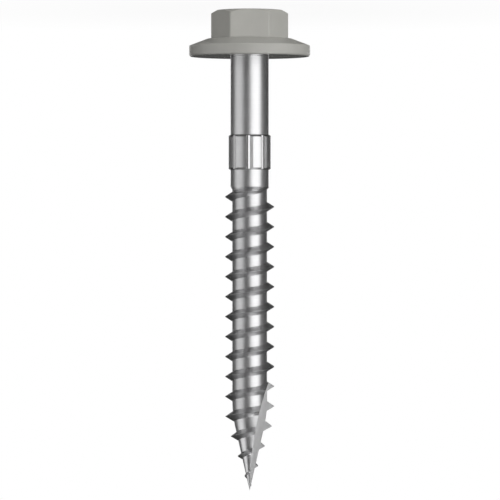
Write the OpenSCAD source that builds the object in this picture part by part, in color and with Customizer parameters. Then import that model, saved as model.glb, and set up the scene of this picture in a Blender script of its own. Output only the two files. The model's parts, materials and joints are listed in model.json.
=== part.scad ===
// Hex flange head timber screw with a ribbed collar and a notched drilling point.
// It stands on its head: the end face of the hexagon lies on Z = 0 and the point is up.
// All heights are measured from that face along +Z. Sizes are in millimetres.

/* [Head] */
// Size of the hexagon across its flats
hex_af = 7.75; // [6.5:0.05:9.5]
// Height of the hexagon, from its end face to the flange
hex_h = 3.3; // [2:0.1:5]
// How far the round edge of the end face lies inside the flats
face_inset = 0.1; // [0.02:0.02:0.4]
// Slope of the corner chamfers, from the end face
chamfer_angle = 30; // [15:1:40]
// Width of the flat ring that the flange has outside the hexagon's corners
shelf_w = 0.43; // [0.1:0.01:0.8]
// Diameter of the flange
flange_d = 13.95; // [12.5:0.05:18]
// Height of the flange's sloping top
slope_h = 0.79; // [0.3:0.01:1.5]
// Height of the flange's upright rim, with its rounded edges
rim_h = 1.25; // [0.8:0.01:2]
// Rounding of the rim at the foot of the slope
rim_top_round = 0.1; // [0.04:0.01:0.2]
// Rounding of the rim on the bearing side
rim_round = 0.25; // [0.1:0.01:0.4]

/* [Shank] */
// Length of the screw from the bearing face to the tip
length = 50; // [40:1:120]
// Diameter of the plain shank
shank_d = 4.4; // [4.2:0.02:4.6]
// Length of the plain shank, from the bearing face to the neck
plain_l = 15; // [14:0.5:25]
// Length of the neck between the shank and the thread's core
neck_l = 0.43; // [0.25:0.01:0.8]
// Fillet between the bearing face and the shank
head_fillet = 0.18; // [0.05:0.01:0.5]

/* [Collar] */
// Distance from the bearing face to the collar
collar_gap = 9; // [3:0.5:9.5]
// Length of the collar
collar_l = 4.05; // [2.5:0.05:5]
// Diameter of the collar on its plain lands
collar_d = 4.82; // [4.7:0.02:5.4]
// Length of the bevel at each end of the collar
bevel_l = 0.25; // [0.1:0.01:0.6]
// Number of ribs round the collar
ribs = 8; // [4:1:12]
// Radius of a rib's round back
rib_r = 0.1; // [0.07:0.01:0.14]
// How far a rib stands above the lands
rib_rise = 0.035; // [0.02:0.005:0.06]
// Width of the flat that leads up to the land beside each rib
flat_w = 0.53; // [0.3:0.01:0.7]
// Direction of the first rib, seen from the tip
first_rib_angle = -87; // [-110:1:-70]

/* [Thread] */
// Advance of the single thread in one turn
pitch = 2.3; // [1.8:0.05:3.2]
// Diameter over the thread
thread_d = 5.65; // [5.3:0.05:6.6]
// Diameter of the core between the turns
core_d = 4.02; // [3.6:0.02:4.1]
// Width of the thread's crest
crest_w = 0.09; // [0.05:0.01:0.25]
// Slope of the thread's two faces, from square to the axis
flank_angle = 32; // [24:1:38]
// Distance from the end of the plain shank to the first full crest, on the +X side
lead_in = 1.15; // [0.95:0.05:1.6]
// Part of a turn in which the thread rises out of the core
rise_turns = 0.6; // [0.5:0.05:0.8]

/* [Point] */
// Length over which the core tapers to the tip
core_point_l = 8.8; // [7:0.1:12]
// Length over which the thread's crest tapers to the tip
crest_point_l = 8.2; // [6.5:0.1:11]
// Half the length of the curve where the core's taper begins
core_blend = 1.6; // [0.2:0.1:2.5]
// Half the length of the curve where the crest's taper begins
crest_blend = 0.9; // [0.2:0.1:2.5]
// Distance from the tip at which the thread ends
thread_stop = 0.45; // [0.35:0.05:1]
// Distance from the tip to the deepest place of the notch
notch_gap = 0.7; // [0.2:0.1:2]
// Radius of the cutter that mills the notch
cutter_r = 34; // [20:1:60]
// Distance from the axis to the notch's curved face at its deepest place
notch_offset = 0.06; // [0.02:0.02:0.3]

/* [Hidden] */

// Columns of the thread's surface in one turn
columns = 48;
// Steps of a rounded edge
arc_steps = 6;
// How far one form reaches into the next, so that they join
overlap = 0.4;
// Height of the thread where it starts inside the shank, as a part of the full height
first_rise = 0.04;

hex_corner_r = hex_af / 2 / cos(30);
face_r = hex_af / 2 - face_inset;
shelf_r = hex_corner_r + shelf_w;
flange_r = flange_d / 2;
head_h = hex_h + slope_h + rim_h;
tip_z = head_h + length;
shank_r = shank_d / 2;
shank_end_z = head_h + plain_l;
collar_z = head_h + collar_gap;
collar_r = collar_d / 2;
core_r = core_d / 2;
crest_r = thread_d / 2;
// The neck ends a little inside the core
neck_sink = 0.04;
core_start_z = shank_end_z - pitch;

// Steps from the thread's start to its first full crest, and to its end at the point
full_step = round(rise_turns * columns);
full_z = shank_end_z + lead_in;
last_step = full_step + floor((tip_z - thread_stop - full_z) / pitch * columns);

// Points of a rounded edge about a centre, from angle a1 to angle a2
function arc(r, z, radius, a1, a2) =
    [for (i = [0 : arc_steps])
        let (a = a1 + (a2 - a1) * i / arc_steps) [r + radius * cos(a), z + radius * sin(a)]];

// Radius at height z of a rod that tapers to the tip, with a parabola at the bend
function tapered(z, radius, point_l, blend) =
    let (fall = radius / point_l, past = z - (tip_z - point_l) + blend)
    past <= 0 ? radius
        : past >= 2 * blend ? radius - fall * (past - blend)
        : radius - fall * past * past / (4 * blend);

function core_at(z) = tapered(z, core_r, core_point_l, core_blend);
function crest_at(z) = tapered(z, crest_r, crest_point_l, crest_blend);

// Angle and height of the middle of the crest at one step of the helix
function step_angle(i) = 360 * (i - full_step) / columns;
function step_z(i) = full_z + pitch * (i - full_step) / columns;
function rise(i) = min(1, first_rise + (1 - first_rise) * i / full_step);
function at(radius, angle, z) = [radius * cos(angle), radius * sin(angle), z];

// The thread's section at one step: foot, crest, crest, foot
function section(i) =
    let (a = step_angle(i), z = step_z(i),
        h = rise(i) * (crest_at(z) - core_at(z)),
        half_crest = crest_w / 2 * (crest_at(z) / crest_r),
        half_foot = half_crest + h * tan(flank_angle))
    [at(core_at(z - half_foot), a, z - half_foot),
     at(core_at(z) + h, a, z - half_crest),
     at(core_at(z) + h, a, z + half_crest),
     at(core_at(z + half_foot), a, z + half_foot)];

function quad(a, b, c, d) = [[a, b, c], [a, c, d]];

// Core and thread in one closed surface, from inside the shank to the tip
module threaded_length() {
    first = columns;
    apex = first + 4 * (last_step + 1);
    last_turn = last_step - columns;
    points = concat(
        [for (j = [0 : columns - 1]) at(core_r, step_angle(j), core_start_z)],
        [for (i = [0 : last_step], p = section(i)) p],
        [[0, 0, tip_z]]);
    // Index of one of the four section points: low foot, low crest, high crest, high foot
    function at_step(i, k) = first + 4 * i + k;
    start_disc = [[for (j = [0 : columns - 1]) j]];
    start_band = [for (j = [0 : columns - 2], f = quad(j, at_step(j, 0), at_step(j + 1, 0), j + 1)) f];
    seam = at_step(columns - 1, 0);
    start_seam = [[seam, at_step(columns, 0), at_step(0, 3)],
        [seam, at_step(0, 3), at_step(0, 0)],
        [seam, at_step(0, 0), 0],
        [seam, 0, columns - 1]];
    thread_faces = [for (i = [0 : last_step - 1], k = [0 : 2],
        f = quad(at_step(i, k), at_step(i, k + 1), at_step(i + 1, k + 1), at_step(i + 1, k))) f];
    core_faces = [for (i = [0 : last_turn - 1],
        f = quad(at_step(i, 3), at_step(i + columns, 0), at_step(i + columns + 1, 0), at_step(i + 1, 3))) f];
    thread_ends = [[for (k = [0, 3, 2, 1]) at_step(0, k)],
        [for (k = [0 : 3]) at_step(last_step, k)]];
    tip_seam = [[at_step(last_turn + 1, 3), at_step(last_turn, 3), at_step(last_step, 0)],
        [at_step(last_turn + 1, 3), at_step(last_step, 0), at_step(last_step, 3)],
        [at_step(last_turn + 1, 3), at_step(last_step, 3), apex]];
    tip_faces = [for (i = [last_turn + 1 : last_step - 1]) [at_step(i, 3), apex, at_step(i + 1, 3)]];
    polyhedron(points, concat(start_disc, start_band, start_seam, thread_faces, core_faces,
        thread_ends, tip_seam, tip_faces));
}

// Hexagon with its corners chamfered round the end face
module hexagon() {
    turned_r = hex_corner_r + overlap;
    prism_h = hex_h + slope_h / 2;
    intersection() {
        cylinder(r = hex_corner_r, h = prism_h, $fn = 6);
        rotate_extrude($fn = 96)
            polygon([[0, 0], [face_r, 0], [turned_r, (turned_r - face_r) * tan(chamfer_angle)],
                [turned_r, prism_h], [0, prism_h]]);
    }
}

// Flange, plain shank, collar and neck in one turned outline
module turned_body() {
    slope = atan2(slope_h, flange_r - shelf_r);
    bend = 90 - slope;
    // The rounding touches the rim and the slope
    round_z = hex_h + slope_h + rim_top_round * tan(bend / 2);
    rotate_extrude($fn = 96)
        polygon(concat(
            [[0, hex_h], [shelf_r, hex_h]],
            arc(flange_r - rim_top_round, round_z, rim_top_round, slope - 90, 0),
            arc(flange_r - rim_round, head_h - rim_round, rim_round, 0, 90),
            arc(shank_r + head_fillet, head_h + head_fillet, head_fillet, 270, 180),
            [[shank_r, collar_z], [collar_r, collar_z + bevel_l],
             [collar_r, collar_z + collar_l - bevel_l], [shank_r, collar_z + collar_l],
             [shank_r, shank_end_z], [core_r - neck_sink, shank_end_z + neck_l],
             [0, shank_end_z + neck_l]]));
}

// Places its children at each rib, with +X outward
module at_each_rib() {
    for (i = [0 : ribs - 1])
        rotate([0, 0, first_rib_angle + 360 * i / ribs])
            children();
}

// Flat that meets the land again flat_w away from the rib
module land_flat() {
    flat_x = sqrt(collar_r * collar_r - flat_w * flat_w);
    translate([flat_x, -flat_w - overlap, collar_z])
        cube([overlap, flat_w + overlap, collar_l]);
}

module rib() {
    translate([collar_r + rib_rise - rib_r, 0, collar_z + bevel_l / 2])
        cylinder(r = rib_r, h = collar_l - bevel_l, $fn = 24);
}

// Quarter notch: a flat face through the axis and the hollow left by a round cutter
module notch() {
    depth = crest_r + overlap;
    translate([-notch_offset - cutter_r, 0, tip_z - notch_gap])
        rotate([90, 0, 0])
            cylinder(r = cutter_r, h = depth, $fn = 180);
}

module screw() {
    color("darkgray") hexagon();
    color("silver") {
        difference() {
            turned_body();
            at_each_rib() land_flat();
        }
        at_each_rib() rib();
        difference() {
            threaded_length();
            notch();
        }
    }
}

screw();
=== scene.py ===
import bpy
import json
from math import atan2, ceil, cos, degrees, floor, pi, radians, sin, sqrt, tan
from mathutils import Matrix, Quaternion, Vector

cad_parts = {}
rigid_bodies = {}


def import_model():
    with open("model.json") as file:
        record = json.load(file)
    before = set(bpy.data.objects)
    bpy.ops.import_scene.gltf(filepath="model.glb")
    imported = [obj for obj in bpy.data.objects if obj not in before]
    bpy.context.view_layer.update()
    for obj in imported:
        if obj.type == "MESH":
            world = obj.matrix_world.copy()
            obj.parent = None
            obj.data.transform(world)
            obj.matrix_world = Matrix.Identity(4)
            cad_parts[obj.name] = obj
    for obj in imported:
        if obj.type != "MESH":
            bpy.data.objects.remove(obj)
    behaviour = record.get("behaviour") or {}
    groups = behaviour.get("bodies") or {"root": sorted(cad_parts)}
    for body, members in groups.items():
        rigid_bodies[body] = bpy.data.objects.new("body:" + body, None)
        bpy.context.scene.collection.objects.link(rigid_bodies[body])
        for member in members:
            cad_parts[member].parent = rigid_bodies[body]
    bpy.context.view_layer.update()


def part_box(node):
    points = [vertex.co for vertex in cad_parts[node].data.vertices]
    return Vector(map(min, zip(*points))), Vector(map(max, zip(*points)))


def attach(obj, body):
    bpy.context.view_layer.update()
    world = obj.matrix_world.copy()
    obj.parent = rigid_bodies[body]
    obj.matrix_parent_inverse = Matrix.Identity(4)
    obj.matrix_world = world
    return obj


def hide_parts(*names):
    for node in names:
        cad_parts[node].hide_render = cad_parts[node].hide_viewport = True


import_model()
screwLow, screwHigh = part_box("screw")
mm = 0.001

# The screw stands on its head, so heights count from the end of the hexagon up to the tip
tipHeight = screwHigh.z
headRadius = screwHigh.x
weld = 0.0001 * mm  # points closer than this are one
nearCut = 0.002 * mm  # a face this close to a cut surface lies on it
cornerHold = 0.03 * mm  # how far from a corner a turned outline is held straight
turnSteps = 240
smoothAngle = 32

hexagon = {
    "acrossFlats": 7.75 * mm,
    "height": 3.3 * mm,
    "faceInset": 0.1 * mm,
    "chamferAngle": 30,
    "cornerRounding": 0.13 * mm,
    "edgeRounding": 0.045 * mm,
    "faceBorder": 0.02 * mm,
    "footFlare": 0.09 * mm,
    "footSteps": ((0.25, 0.5), (0.75, 0.5), (0, 1)),  # outwards and upwards, in parts of the flare
    "blankSteps": 192,
}

flange = {
    "shelfWidth": 0.43 * mm,
    "slopeHeight": 0.79 * mm,
    "rimHeight": 1.25 * mm,
    "shelfRounding": 0.12 * mm,
    "rimTopRounding": 0.1 * mm,
    "rimRounding": 0.25 * mm,
}

shank = {
    "diameter": 4.4 * mm,
    "plainLength": 15 * mm,
    "neckLength": 0.43 * mm,
    "neckSink": 0.04 * mm,
    "headFillet": 0.07 * mm,
}

collar = {
    "gap": 9 * mm,
    "length": 4.05 * mm,
    "diameter": 4.82 * mm,
    "bevel": 0.25 * mm,
    "ribs": 8,
    "ribRadius": 0.33 * mm,
    "ribRise": 0.018 * mm,
    "ribOffset": 0.06 * mm,
    "ribTaper": 0.12 * mm,
    "ribEndSize": 0.5,
    "flatWidth": 0.53 * mm,
    "flatFaceDepth": 0.01 * mm,
    "firstRibAngle": -87,
}

thread = {
    "pitch": 2.3 * mm,
    "diameter": 5.65 * mm,
    "coreDiameter": 4.02 * mm,
    "crestWidth": 0.014 * mm,
    "crestRounding": 0.006 * mm,
    "rootFillet": 0.06 * mm,
    "flankAngle": 32,
    "leadIn": 1.15 * mm,
    "riseTurns": 0.53,
    "stepsPerTurn": 96,
    "hiddenTurns": 2,
}

point = {
    "coreLength": 8.8 * mm,
    "crestLength": 8.2 * mm,
    "coreBlend": 1.6 * mm,
    "crestBlend": 0.9 * mm,
}

notch = {
    "gap": 0.7 * mm,
    "cutterRadius": 34 * mm,
    "offset": 0.06 * mm,
    "reach": 16.95 * mm,
    "cutterSteps": 720,
}

cornerRadius = hexagon["acrossFlats"] / 2 / cos(pi / 6)
shelfRadius = cornerRadius + flange["shelfWidth"]
rimStart = hexagon["height"] + flange["slopeHeight"]
bearingHeight = rimStart + flange["rimHeight"]
shankRadius = shank["diameter"] / 2
shankEnd = bearingHeight + shank["plainLength"]
collarStart = bearingHeight + collar["gap"]
collarRadius = collar["diameter"] / 2
coreRadius = thread["coreDiameter"] / 2
crestRadius = thread["diameter"] / 2
fullCrest = shankEnd + thread["leadIn"]  # height of the first full crest, on the +X side


def deselectAll():
    if bpy.context.object and bpy.context.object.mode != "OBJECT":
        bpy.ops.object.mode_set(mode="OBJECT")
    bpy.ops.object.select_all(action="DESELECT")


def activate(piece):
    deselectAll()
    piece.select_set(True)
    bpy.context.view_layer.objects.active = piece


def applyPlace(piece):
    activate(piece)
    bpy.ops.object.transform_apply(location=True, rotation=True, scale=True)


def editAll(piece):
    activate(piece)
    bpy.ops.object.mode_set(mode="EDIT")
    bpy.ops.mesh.select_all(action="SELECT")


def editFaces(piece, choose):
    # Edit mode with only the chosen faces selected
    activate(piece)
    bpy.ops.object.mode_set(mode="EDIT")
    bpy.ops.mesh.select_mode(type="FACE")
    bpy.ops.mesh.select_all(action="DESELECT")
    bpy.ops.object.mode_set(mode="OBJECT")
    for face in piece.data.polygons:
        face.select = choose(face)
    bpy.ops.object.mode_set(mode="EDIT")


def closeUp(piece):
    # Doubles become one point and the faces look outwards
    editAll(piece)
    bpy.ops.mesh.remove_doubles(threshold=weld)
    bpy.ops.mesh.normals_make_consistent(inside=False)
    bpy.ops.object.mode_set(mode="OBJECT")


def combine(piece, tool, operation):
    activate(piece)
    modifier = piece.modifiers.new("cut", "BOOLEAN")
    modifier.object = tool
    modifier.operation = operation
    modifier.solver = "EXACT"
    bpy.ops.object.modifier_apply(modifier="cut")
    bpy.data.objects.remove(tool)


def softenEdges(piece, width):
    activate(piece)
    bevel = piece.modifiers.new("soft", "BEVEL")
    bevel.width = width
    bevel.segments = 2
    bevel.limit_method = "ANGLE"
    bevel.angle_limit = radians(18)
    bpy.ops.object.modifier_apply(modifier="soft")


def joinPieces(name, parts):
    deselectAll()
    for part in parts:
        part.select_set(True)
    bpy.context.view_layer.objects.active = parts[0]
    bpy.ops.object.join()
    parts[0].name = name
    return parts[0]


def arcPoints(centre, radius, startAngle, endAngle, steps):
    angles = [radians(startAngle + (endAngle - startAngle) * i / steps) for i in range(steps + 1)]
    return [(centre[0] + radius * cos(a), centre[1] + radius * sin(a)) for a in angles]


def drawOutline(name, outline):
    # One point is pulled out again and again along the outline, in the XZ plane
    deselectAll()
    bpy.ops.mesh.primitive_plane_add(size=mm)
    drawn = bpy.context.object
    drawn.name = name
    bpy.ops.object.mode_set(mode="EDIT")
    bpy.ops.mesh.select_mode(type="VERT")
    bpy.ops.mesh.select_all(action="SELECT")
    bpy.ops.mesh.merge(type="CENTER")
    bpy.ops.transform.translate(value=(outline[0][0], 0, outline[0][1]))
    for start, end in zip(outline, outline[1:]):
        step = (end[0] - start[0], 0, end[1] - start[1])
        bpy.ops.mesh.extrude_region_move(TRANSFORM_OT_translate={"value": step})
    bpy.ops.object.mode_set(mode="OBJECT")
    return drawn


def holdCorners(outline, distance):
    # A point near each end of a long line keeps the line straight where the shading is smooth
    held = [outline[0]]
    for start, end in zip(outline, outline[1:]):
        run = Vector(end) - Vector(start)
        if run.length > 4 * distance:
            step = run.normalized() * distance
            held += [tuple(Vector(start) + step), tuple(Vector(end) - step)]
        held.append(end)
    return held


def turnOutline(name, outline, steps):
    turned = drawOutline(name, holdCorners(outline, cornerHold))
    editAll(turned)
    bpy.ops.mesh.spin(steps=steps, angle=2 * pi, center=(0, 0, 0), axis=(0, 0, 1))
    closeUp(turned)
    return turned


def makeHexagon():
    flare = hexagon["footFlare"]
    prismHeight = hexagon["height"] - flare
    deselectAll()
    bpy.ops.mesh.primitive_cylinder_add(vertices=6, radius=cornerRadius, depth=prismHeight,
                                        location=(0, 0, prismHeight / 2), rotation=(0, 0, pi / 6))
    prism = bpy.context.object
    applyPlace(prism)
    bpy.ops.object.mode_set(mode="EDIT")
    bpy.ops.mesh.select_all(action="DESELECT")
    bpy.ops.mesh.select_mode(type="EDGE")
    bpy.ops.object.mode_set(mode="OBJECT")
    for edge in prism.data.edges:
        low, high = [prism.data.vertices[i].co for i in edge.vertices]
        edge.select = abs(low.z - high.z) > prismHeight / 2
    bpy.ops.object.mode_set(mode="EDIT")
    bpy.ops.mesh.bevel(offset=hexagon["cornerRounding"], segments=5, profile=0.5)
    # The foot flares out and ends inside the flange
    editFaces(prism, lambda face: face.normal.z > 0.9)
    for spread, climb in hexagon["footSteps"]:
        bpy.ops.mesh.extrude_region_move(TRANSFORM_OT_translate={"value": (0, 0, climb * flare)})
        size = 1 + spread * flare / cornerRadius
        bpy.ops.transform.resize(value=(size, size, 1))
    bpy.ops.object.mode_set(mode="OBJECT")
    # The corners are chamfered by what a turned blank leaves
    faceRadius = hexagon["acrossFlats"] / 2 - hexagon["faceInset"]
    blankRadius = cornerRadius + 2 * flare
    blankHeight = hexagon["height"] + 2 * flare
    chamfer = (blankRadius - faceRadius) * tan(radians(hexagon["chamferAngle"]))
    blank = turnOutline("blank", [(0, 0), (faceRadius, 0), (blankRadius, chamfer),
                                  (blankRadius, blankHeight), (0, blankHeight)],
                        hexagon["blankSteps"])
    combine(prism, blank, "INTERSECT")
    softenEdges(prism, hexagon["edgeRounding"])
    # The wide faces get a narrow border that holds them flat
    editFaces(prism, lambda face: face.area > mm * mm)
    bpy.ops.mesh.inset(thickness=hexagon["faceBorder"], use_individual=True)
    bpy.ops.object.mode_set(mode="OBJECT")
    return prism


def turnBody():
    slope = degrees(atan2(flange["slopeHeight"], headRadius - shelfRadius))
    shelfArc = flange["shelfRounding"]
    topArc = flange["rimTopRounding"]
    lowArc = flange["rimRounding"]
    fillet = shank["headFillet"]
    bevel = collar["bevel"]
    shelfCentre = (shelfRadius - shelfArc * tan(radians(slope / 2)), hexagon["height"] + shelfArc)
    topCentre = (headRadius - topArc, rimStart + topArc * tan(radians(90 - slope) / 2))
    outline = [(0, hexagon["height"])]
    outline += arcPoints(shelfCentre, shelfArc, 270, 270 + slope, 5)
    outline += arcPoints(topCentre, topArc, slope - 90, 0, 6)
    outline += arcPoints((headRadius - lowArc, bearingHeight - lowArc), lowArc, 0, 90, 10)
    outline += arcPoints((shankRadius + fillet, bearingHeight + fillet), fillet, 270, 180, 4)
    outline += [(shankRadius, collarStart),
                (collarRadius, collarStart + bevel),
                (collarRadius, collarStart + collar["length"] - bevel),
                (shankRadius, collarStart + collar["length"]),
                (shankRadius, shankEnd),
                (coreRadius - shank["neckSink"], shankEnd + shank["neckLength"]),
                (0, shankEnd + shank["neckLength"])]
    return turnOutline("body", outline, turnSteps)


def cutLandFlats(body):
    # Beside each rib a flat runs up to the land again
    depth = 0.4 * mm
    width = collar["flatWidth"] + depth
    flatX = sqrt(collarRadius ** 2 - collar["flatWidth"] ** 2)
    deselectAll()
    bpy.ops.mesh.primitive_cube_add(size=1)
    cutter = bpy.context.object
    cutter.dimensions = (depth, width, collar["length"])
    cutter.location = (flatX + depth / 2, -width / 2, collarStart + collar["length"] / 2)
    applyPlace(cutter)
    combine(body, repeatRound(cutter), "DIFFERENCE")


def makeRibs():
    # A round bar whose two ends taper down into the shank
    taper = collar["ribTaper"]
    height = collar["length"] - 2 * taper
    endSize = collar["ribEndSize"]
    ribCentre = collarRadius + collar["ribRise"] - collar["ribRadius"]
    endCentre = shankRadius - endSize * collar["ribRadius"]
    deselectAll()
    bpy.ops.mesh.primitive_cylinder_add(
        vertices=32, radius=collar["ribRadius"], depth=height,
        location=(ribCentre, collar["ribOffset"], collarStart + collar["length"] / 2))
    rib = bpy.context.object
    applyPlace(rib)
    for side in (-1, 1):
        editFaces(rib, lambda face: side * face.normal.z > 0.9)
        bpy.ops.mesh.extrude_region_move(
            TRANSFORM_OT_translate={"value": (endCentre - ribCentre, 0, side * taper)})
        bpy.ops.transform.resize(value=(endSize, endSize, 1))
        bpy.ops.object.mode_set(mode="OBJECT")
    return repeatRound(rib)


def repeatRound(piece):
    copies = [piece]
    for i in range(1, collar["ribs"]):
        activate(piece)
        bpy.ops.object.duplicate()
        copies.append(bpy.context.object)
    for i, copy in enumerate(copies):
        copy.rotation_euler.z = radians(collar["firstRibAngle"]) + 2 * pi * i / collar["ribs"]
        applyPlace(copy)
    return joinPieces("repeated", copies)


def taperedRadius(height, radius, length, blend):
    # A rod that tapers to the tip, with a parabola at the bend
    fall = radius / length
    past = height - (tipHeight - length) + blend
    if past <= 0:
        return radius
    if past >= 2 * blend:
        return max(radius - fall * (past - blend), 0)
    return radius - fall * past * past / (4 * blend)


def coreAt(height):
    return taperedRadius(height, coreRadius, point["coreLength"], point["coreBlend"])


def crestAt(height):
    return taperedRadius(height, crestRadius, point["crestLength"], point["crestBlend"])


def threadProfile():
    # Half of one turn's section, from the middle of the crest to the middle of the core, is mirrored
    slope = radians(thread["flankAngle"])
    turn = 90 - thread["flankAngle"]
    halfCrest = thread["crestWidth"] / 2
    crestArc = thread["crestRounding"]
    rootArc = thread["rootFillet"]
    toothHeight = crestRadius - coreRadius
    foot = halfCrest + toothHeight * tan(slope)
    crestCentre = (crestRadius - crestArc, halfCrest - crestArc * tan(radians(turn) / 2))
    rootCentre = (coreRadius + rootArc, foot + rootArc * tan(radians(turn) / 2))
    crest = arcPoints(crestCentre, crestArc, 0, turn, 4)
    root = arcPoints(rootCentre, rootArc, 180 + turn, 180, 5)
    flankParts, coreParts = 4, 5
    flank = [(crest[-1][0] + (root[0][0] - crest[-1][0]) * i / flankParts,
              crest[-1][1] + (root[0][1] - crest[-1][1]) * i / flankParts) for i in range(1, flankParts)]
    coreWidth = thread["pitch"] / 2 - root[-1][1]
    core = [(coreRadius, root[-1][1] + coreWidth * i / coreParts) for i in range(1, coreParts + 1)]
    half = crest + flank + root + core
    return [(x, -z) for x, z in reversed(half)] + [(crestRadius, 0)] + half, foot


def sweepThread():
    profile, foot = threadProfile()
    pitch = thread["pitch"]
    firstCrest = fullCrest - thread["hiddenTurns"] * pitch
    swept = drawOutline("thread", [(x, z + firstCrest) for x, z in profile])
    activate(swept)
    screwing = swept.modifiers.new("turns", "SCREW")
    screwing.axis = "Z"
    screwing.angle = 2 * pi
    screwing.screw_offset = pitch
    screwing.iterations = ceil((tipHeight - firstCrest) / pitch) + 1
    screwing.steps = thread["stepsPerTurn"]
    screwing.render_steps = thread["stepsPerTurn"]
    bpy.ops.object.modifier_apply(modifier="turns")
    shapeThread(swept, foot)
    editAll(swept)
    bpy.ops.mesh.remove_doubles(threshold=weld)
    bpy.ops.mesh.select_all(action="SELECT")
    bpy.ops.mesh.fill_holes(sides=0)
    closeUp(swept)
    return swept


def shapeThread(swept, foot):
    # The thread rises out of the core at its start, and core and crest run down to the tip
    pitch = thread["pitch"]
    halfCrest = thread["crestWidth"] / 2
    toothHeight = crestRadius - coreRadius
    flankSlope = tan(radians(thread["flankAngle"]))
    startHeight = fullCrest - (thread["hiddenTurns"] - 0.5) * pitch
    for vertex in swept.data.vertices:
        x, y, z = vertex.co
        angle = atan2(y, x)
        turns = floor((z - fullCrest) / pitch - angle / (2 * pi) + 0.5) + angle / (2 * pi)
        crestHeight = fullCrest + turns * pitch
        share = (sqrt(x * x + y * y) - coreRadius) / toothHeight
        rise = min(1, max(0, 1 + (turns / thread["riseTurns"]) ** 3))
        height = rise * max(crestAt(crestHeight) - coreAt(crestHeight), 0)
        newCrest = halfCrest * crestAt(crestHeight) / crestRadius
        newFoot = newCrest + height * flankSlope
        away = abs(z - crestHeight)
        if away <= halfCrest:
            away = away * newCrest / halfCrest
        elif away <= foot:
            away = newCrest + (away - halfCrest) * (newFoot - newCrest) / (foot - halfCrest)
        else:
            away = newFoot + (away - foot) * (pitch / 2 - newFoot) / (pitch / 2 - foot)
        newHeight = crestHeight + (away if z > crestHeight else -away)
        newHeight = min(max(newHeight, startHeight), tipHeight)
        radius = coreAt(newHeight) + share * height
        if newHeight >= tipHeight:
            radius = 0
        vertex.co = (radius * cos(angle), radius * sin(angle), newHeight)


def millNotch(swept):
    # A round cutter, deep enough to leave through the crest, takes a quarter off the point
    depth = crestRadius + 0.4 * mm
    cutterX = -notch["offset"] - notch["cutterRadius"]
    deselectAll()
    bpy.ops.mesh.primitive_cylinder_add(
        vertices=notch["cutterSteps"], radius=notch["cutterRadius"], depth=depth,
        location=(cutterX, -depth / 2, tipHeight - notch["gap"]), rotation=(pi / 2, 0, 0))
    cutter = bpy.context.object
    applyPlace(cutter)
    combine(swept, cutter, "DIFFERENCE")


class Value:
    # A number from a socket; sums and products on it add Math nodes

    def __init__(self, shader, socket):
        self.shader = shader
        self.socket = socket

    def __add__(self, other):
        return self.shader.math("ADD", self, other)

    def __radd__(self, other):
        return self.shader.math("ADD", other, self)

    def __sub__(self, other):
        return self.shader.math("SUBTRACT", self, other)

    def __rsub__(self, other):
        return self.shader.math("SUBTRACT", other, self)

    def __mul__(self, other):
        return self.shader.math("MULTIPLY", self, other)

    def __rmul__(self, other):
        return self.shader.math("MULTIPLY", other, self)

    def __truediv__(self, other):
        return self.shader.math("DIVIDE", self, other)


class Node:
    def __init__(self, shader, node):
        self.shader = shader
        self.node = node

    def value(self, name):
        return Value(self.shader, self.node.outputs[name])


class Shader:
    # The nodes of a new material or world

    def __init__(self, owner):
        self.owner = owner
        owner.use_nodes = True
        self.tree = owner.node_tree
        self.tree.nodes.clear()

    def add(self, kind, settings=None, inputs=None):
        node = self.tree.nodes.new("ShaderNode" + kind)
        for name, setting in (settings or {}).items():
            setattr(node, name, setting)
        for name, given in (inputs or {}).items():
            if isinstance(given, Value):
                self.tree.links.new(given.socket, node.inputs[name])
            else:
                node.inputs[name].default_value = given
        return Node(self, node)

    def math(self, operation, first, second=None):
        inputs = {0: first} if second is None else {0: first, 1: second}
        return self.add("Math", {"operation": operation}, inputs).value(0)

    def place(self):
        return self.add("TexCoord").value("Object")

    def axes(self, place):
        split = self.add("SeparateXYZ", {}, {"Vector": place})
        return split.value("X"), split.value("Y"), split.value("Z")

    def stretched(self, place, scale):
        return self.add("Mapping", {}, {"Vector": place, "Scale": scale}).value(0)

    def noise(self, place, scale, detail):
        return self.add("TexNoise", {}, {"Vector": place, "Scale": scale, "Detail": detail,
                                         "Roughness": 0.55}).value("Fac")

    def blend(self, factor, first, second):
        # Mix node's colour sockets are 6 and 7, its colour result is 2
        return self.add("Mix", {"data_type": "RGBA"}, {0: factor, 6: first, 7: second}).value(2)

    def ramp(self, factor, low, high):
        # From 0 at low to 1 at high, and level beyond
        return self.add("MapRange", {"clamp": True},
                        {"Value": factor, "From Min": low, "From Max": high}).value(0)

    def bump(self, height, distance, strength):
        return self.add("Bump", {}, {"Height": height, "Distance": distance, "Strength": strength}).value(0)

    def finish(self, surface):
        self.add("OutputMaterial", {}, {"Surface": surface.value(0)})
        return self.owner


def newShader(name):
    return Shader(bpy.data.materials.new(name))


def grey(level):
    return (level, level, level, 1)


cloudRange = (0.35, 0.65)  # where the soft noise turns from one shade to the other

paintLook = {
    "base": (0.415, 0.411, 0.385, 1),
    "pale": (0.445, 0.441, 0.413, 1),
    "roughness": 0.36,
    "bearingRoughness": 0.13,
    "roughnessSpread": 0.05,
    "cloudScale": 260,
    "peelScale": 3600,
    "peelHeight": 0.004 * mm,
    "peelDepth": 0.5,
}

steelGrain = {
    "cloudScale": 420,
    "roughnessSpread": 0.06,
    "markHeight": 0.003 * mm,
}

# Bare metal: shades, roughness, how the marks of its making are stretched, and their depth
platedSteel = {
    "base": (0.56, 0.56, 0.565, 1),
    "dull": (0.52, 0.52, 0.525, 1),
    "roughness": 0.37,
    "marks": (120, 120, 9000),
    "markDepth": 0.3,
}

# A darker copy of the plated steel for the collar's bevels: painted shade
shadedBevelSteel = {
    "base": (0.33, 0.33, 0.333, 1),
    "dull": (0.3, 0.3, 0.303, 1),
    "roughness": 0.4,
    "marks": (120, 120, 9000),
    "markDepth": 0.3,
}

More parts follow.
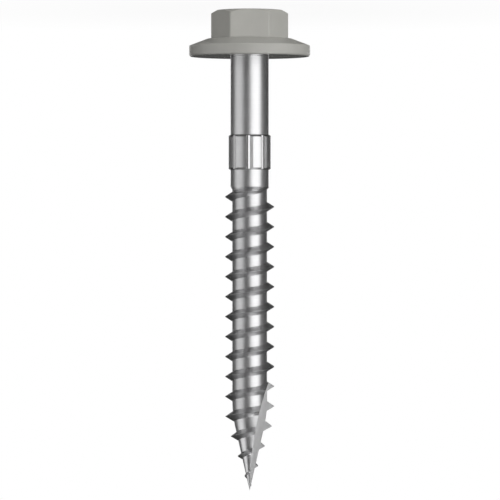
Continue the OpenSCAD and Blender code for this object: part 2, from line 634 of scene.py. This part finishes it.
rolledSteel = {
    "base": (0.55, 0.55, 0.555, 1),
    "dull": (0.495, 0.495, 0.5, 1),
    "roughness": 0.37,
    "marks": (500, 500, 6500),
    "markDepth": 0.6,
}

# A lighter copy of the plated steel for the flats beside the ribs: painted highlight
highlitFlatSteel = {
    "base": (0.73, 0.73, 0.735, 1),
    "dull": (0.68, 0.68, 0.685, 1),
    "roughness": 0.4,
    "marks": (120, 120, 9000),
    "markDepth": 0.2,
}

ribSteel = {
    "base": (0.5, 0.5, 0.505, 1),
    "dull": (0.46, 0.46, 0.465, 1),
    "roughness": 0.22,
    "marks": (120, 120, 9000),
    "markDepth": 0.2,
}

milledSteel = {
    "base": (0.58, 0.58, 0.582, 1),
    "dull": (0.53, 0.53, 0.532, 1),
    "roughness": 0.5,
    "marks": (9000, 9000, 300),
    "markDepth": 0.4,
}


def paintMaterial(name, roughness):
    shader = newShader(name)
    place = shader.place()
    cloud = shader.noise(place, paintLook["cloudScale"], 4)
    peel = shader.noise(place, paintLook["peelScale"], 2)
    return shader.finish(shader.add("BsdfPrincipled", {}, {
        "Base Color": shader.blend(shader.ramp(cloud, *cloudRange), paintLook["base"], paintLook["pale"]),
        "Roughness": roughness + paintLook["roughnessSpread"] * (cloud - 0.5),
        "Normal": shader.bump(peel, paintLook["peelHeight"], paintLook["peelDepth"]),
    }))


def steelMaterial(name, look):
    shader = newShader(name)
    place = shader.place()
    cloud = shader.noise(place, steelGrain["cloudScale"], 5)
    marks = shader.noise(shader.stretched(place, look["marks"]), 1, 3)
    wear = shader.ramp(0.5 * cloud + 0.5 * marks, *cloudRange)
    return shader.finish(shader.add("BsdfPrincipled", {}, {
        "Base Color": shader.blend(wear, look["dull"], look["base"]),
        "Metallic": 1.0,
        "Roughness": look["roughness"] + steelGrain["roughnessSpread"] * (cloud - 0.5),
        "Normal": shader.bump(marks, steelGrain["markHeight"], look["markDepth"]),
    }))


def giveMaterials(piece, choose):
    piece.data.materials.clear()
    for material in materials:
        piece.data.materials.append(material)
    for face in piece.data.polygons:
        face.material_index = choose(face)


def fromAxis(face):
    return sqrt(face.center.x ** 2 + face.center.y ** 2)


def isBearing(face):
    # The flat ring round the shank, as far as the fillet
    return (abs(face.normal.z) > 0.99 and abs(face.center.z - bearingHeight) < weld
            and fromAxis(face) > shankRadius + shank["headFillet"])


def bodySlot(face):
    # On the collar the bevels get a darker steel, a painted shade, and the flats beside the ribs a lighter
    # steel, a painted highlight
    if isBearing(face):
        return bearingSlot
    if face.center.z < bearingHeight - weld:
        return paintSlot
    if not collarStart < face.center.z < collarStart + collar["length"]:
        return platedSlot
    if abs(face.normal.z) > 0.3:
        return shadedBevelSlot
    return highlitFlatSlot if fromAxis(face) < collarRadius - collar["flatFaceDepth"] else platedSlot


def isMilled(face):
    # The notch's flat wall, or the hollow one round the cutter's axis
    onFlat = abs(face.center.y) < nearCut and face.normal.y < -0.99
    fromCutter = sqrt((face.center.x + notch["offset"] + notch["cutterRadius"]) ** 2
                      + (face.center.z - tipHeight + notch["gap"]) ** 2)
    onHollow = (abs(fromCutter - notch["cutterRadius"]) < nearCut and face.normal.x < -0.5
                and abs(face.normal.y) < 0.01)
    return face.center.z > tipHeight - notch["reach"] and (onFlat or onHollow)


materials = [
    paintMaterial("greyPaint", paintLook["roughness"]),
    paintMaterial("bearingPaint", paintLook["bearingRoughness"]),
    steelMaterial("platedSteel", platedSteel),
    steelMaterial("shadedBevelSteel", shadedBevelSteel),
    steelMaterial("highlitFlatSteel", highlitFlatSteel),
    steelMaterial("ribSteel", ribSteel),
    steelMaterial("rolledSteel", rolledSteel),
    steelMaterial("milledSteel", milledSteel),
]
paintSlot, bearingSlot, platedSlot, shadedBevelSlot, highlitFlatSlot, ribSlot, rolledSlot, milledSlot = range(8)

hexHead = makeHexagon()
giveMaterials(hexHead, lambda face: paintSlot)
print("hexagon:", len(hexHead.data.polygons), "faces")

body = turnBody()
cutLandFlats(body)
giveMaterials(body, bodySlot)
print("turned body:", len(body.data.polygons), "faces")

ribs = makeRibs()
giveMaterials(ribs, lambda face: ribSlot)
print("ribs:", len(ribs.data.polygons), "faces")

threadedLength = sweepThread()
millNotch(threadedLength)
giveMaterials(threadedLength, lambda face: milledSlot if isMilled(face) else rolledSlot)
print("threaded length:", len(threadedLength.data.polygons), "faces")

timberScrew = joinPieces("timberScrew", [body, hexHead, ribs, threadedLength])
activate(timberScrew)
bpy.ops.object.shade_smooth_by_angle(angle=radians(smoothAngle))
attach(timberScrew, "root")
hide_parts("screw")
print("timber screw in place")

stage = {
    "floorSize": 8.0,
    "floorShade": 0.95,
    "shadowShare": 0.05,
    "shadowReach": (0.01, 0.05),
    "dimWorld": 0.13,
    "lampDistance": 2.0,
}

# They stand on the floor. Angles go round from the camera towards the right of the picture, which is -X.
softboxes = [
    {"name": "mainSoftbox", "angle": 36, "width": 2.9, "height": 0.29, "radiance": 11.5},
    {"name": "sideSoftbox", "angle": -69, "width": 2.24, "height": 0.36, "radiance": 1.0},
    {"name": "backSoftbox", "angle": 180, "width": 2.3, "height": 0.3, "radiance": 8.0},
]

# The gloss doesn't see the lamps but this tent, a painted reflection: a dim glow with upright strips of
# light, and a polished table under it. Heights are tangents of the angle above the table, and levels are
# given low, half way up and high up. Two numbers in a row are where a change starts and where it ends.
tent = {
    "radius": 2.6,
    "height": 4.0,
    "lift": 0.1 * mm,
    "midHeight": (0.2, 0.45),
    "highUp": (0.8, 1.4),
    "dimGlow": (0.107, 0.05, 0.03),
    "dimGlowBack": 0.5,
    "dimGlowBackAngles": (110, 150),
    "strips": [
        {"angles": (5, 68), "midTurn": 22, "levels": (2.45, 0.56, 6.0)},
        {"angles": (-98, -40), "midTurn": -6, "levels": (1.0, 1.6, 0.4)},
    ],
    "stripSoftness": 7,
    "stripEnd": (2.2, 2.9),
    "backStrips": {"angles": (160, 171), "softness": 3, "end": (0.18, 0.23), "level": 2.5},
    "backHigh": {"angles": (135, 165), "start": (1.5, 2.2), "level": 0.8},
    "polish": 0.95,
    "tableRoughness": 0.02,
}

# A dim panel lies on the floor and lights the flange from below
floorPanel = {
    "size": 0.2,
    "lift": 0.1 * mm,
    "radiance": 0.33,
}

camera = {
    "lens": 300,
    "distance": 0.48,
    "height": 26.5 * mm,
    "aimHeight": 27.615 * mm,
    "side": -0.04 * mm,
    "sensorWidth": 36,
    "clipEnd": 10,
}


def aimAt(thing, target):
    thing.rotation_mode = "QUATERNION"
    thing.rotation_quaternion = (target - thing.location).to_track_quat("-Z", "Y")


def setLamp(lamp, name, radiance, area):
    # Neither the camera nor the gloss sees the lamp itself
    lamp.name = name
    lamp.data.energy = radiance * pi * area
    lamp.visible_camera = False
    lamp.visible_glossy = False


def addSoftbox(box):
    turned = radians(box["angle"])
    distance = stage["lampDistance"]
    middle = box["height"] / 2
    deselectAll()
    bpy.ops.object.light_add(type="AREA")
    lamp = bpy.context.object
    lamp.location = (-sin(turned) * distance, -cos(turned) * distance, middle)
    aimAt(lamp, Vector((0, 0, middle)))
    lamp.data.shape = "RECTANGLE"
    lamp.data.size = box["width"]
    lamp.data.size_y = box["height"]
    setLamp(lamp, box["name"], box["radiance"], box["width"] * box["height"])


def addFloorPanel():
    deselectAll()
    bpy.ops.object.light_add(type="AREA", location=(0, 0, floorPanel["lift"]), rotation=(pi, 0, 0))
    panel = bpy.context.object
    panel.data.size = floorPanel["size"]
    setLamp(panel, "floorPanel", floorPanel["radiance"], floorPanel["size"] ** 2)


def addTent():
    deselectAll()
    bpy.ops.mesh.primitive_cylinder_add(vertices=64, radius=tent["radius"], depth=tent["height"],
                                        location=(0, 0, tent["height"] / 2))
    wall = bpy.context.object
    wall.name = "reflectionTent"
    wall.data.materials.append(paintedReflectionMaterial())
    wall.data.materials.append(tableMaterial())
    for face in wall.data.polygons:
        face.material_index = 1 if face.normal.z < -0.5 else 0
    # The table lies a little above the floor
    wall.location.z += tent["lift"]
    applyPlace(wall)
    # Only gloss sees the tent
    wall.visible_camera = False
    wall.visible_diffuse = False
    wall.visible_shadow = False


def whiteRays(shader):
    # 1 for the camera, in gloss and through glass
    path = shader.add("LightPath")
    seen = path.value("Is Camera Ray") + path.value("Is Glossy Ray") + path.value("Is Transmission Ray")
    return shader.ramp(seen, 0, 1)


def floorMaterial():
    # White to those rays, with a share of the real light for the shadow near the screw
    shader = newShader("whiteFloor")
    paper = shader.add("BsdfDiffuse", {}, {"Color": grey(stage["floorShade"])})
    glow = shader.add("Emission", {}, {"Color": grey(1), "Strength": 1.0})
    away = shader.add("VectorMath", {"operation": "LENGTH"}, {0: shader.place()}).value("Value")
    share = stage["shadowShare"] * (1 - shader.ramp(away, *stage["shadowReach"]))
    return shader.finish(shader.add("MixShader", {}, {
        0: whiteRays(shader) * (1 - share), 1: paper.value(0), 2: glow.value(0)}))


def paintedReflectionMaterial():
    # A dim glow with strips of light that only gloss sees: painted reflections in place of the lamps and
    # the surroundings
    shader = newShader("paintedReflectionGlow")
    x, y, z = shader.axes(shader.place())
    angle = shader.math("ARCTAN2", 0 - x, 0 - y) * degrees(1)
    climb = z / shader.math("SQRT", x * x + y * y)
    mid = shader.ramp(climb, *tent["midHeight"])
    high = shader.ramp(climb, *tent["highUp"])

    def level(low, half, top):
        return low + (half - low) * mid + (top - half) * high

    def between(turn, angles, soft):
        first, last = angles
        begun = shader.ramp(turn, first - soft, first + soft)
        return begun * (1 - shader.ramp(turn, last - soft, last + soft))

    turnedBack = shader.math("ABSOLUTE", angle)
    atBack = shader.ramp(turnedBack, *tent["dimGlowBackAngles"])
    dimGlow = level(*tent["dimGlow"]) * (1 - (1 - tent["dimGlowBack"]) * atBack)
    strips = 0
    for strip in tent["strips"]:
        turned = angle - strip["midTurn"] * (mid - high)
        strips = between(turned, strip["angles"], tent["stripSoftness"]) * level(*strip["levels"]) + strips
    # Behind the screw are two strips low down and a wide glow high up
    pair, glow = tent["backStrips"], tent["backHigh"]
    backStrips = (pair["level"] * (1 - shader.ramp(climb, *pair["end"]))
                  * between(turnedBack, pair["angles"], pair["softness"]))
    backGlow = glow["level"] * shader.ramp(climb, *glow["start"]) * shader.ramp(turnedBack, *glow["angles"])
    light = dimGlow + (strips + (backStrips + backGlow)) * (1 - shader.ramp(climb, *tent["stripEnd"]))
    return shader.finish(shader.add("Emission", {}, {"Color": light, "Strength": 1.0}))


def tableMaterial():
    shader = newShader("polishedTable")
    return shader.finish(shader.add("BsdfGlossy", {}, {
        "Color": grey(tent["polish"]), "Roughness": tent["tableRoughness"]}))


def addFloor():
    deselectAll()
    bpy.ops.mesh.primitive_plane_add(size=stage["floorSize"])
    floorSheet = bpy.context.object
    floorSheet.name = "floorSheet"
    floorSheet.data.materials.append(floorMaterial())


def lightWorld():
    shader = Shader(bpy.data.worlds.new("studio"))
    dim = shader.add("Background", {}, {"Color": grey(stage["dimWorld"])})
    white = shader.add("Background", {}, {"Color": grey(1), "Strength": 1.0})
    mixed = shader.add("MixShader", {}, {0: whiteRays(shader), 1: dim.value(0), 2: white.value(0)})
    shader.add("OutputWorld", {}, {"Surface": mixed.value(0)})
    bpy.context.scene.world = shader.owner


def addCamera():
    deselectAll()
    bpy.ops.object.camera_add()
    viewer = bpy.context.object
    viewer.name = "photoCamera"
    viewer.data.lens = camera["lens"]
    viewer.data.sensor_width = camera["sensorWidth"]
    viewer.data.clip_end = camera["clipEnd"]
    viewer.location = (camera["side"], -camera["distance"], camera["height"])
    aimAt(viewer, Vector((camera["side"], 0, camera["aimHeight"])))
    # The photograph shows the head at the top
    viewer.rotation_quaternion = viewer.rotation_quaternion @ Quaternion((0, 0, 1), pi)
    bpy.context.scene.camera = viewer


for box in softboxes:
    addSoftbox(box)
addFloorPanel()
addTent()
addFloor()
lightWorld()
addCamera()
bpy.context.scene.view_settings.view_transform = "Standard"
print("stage, lamps and camera in place")
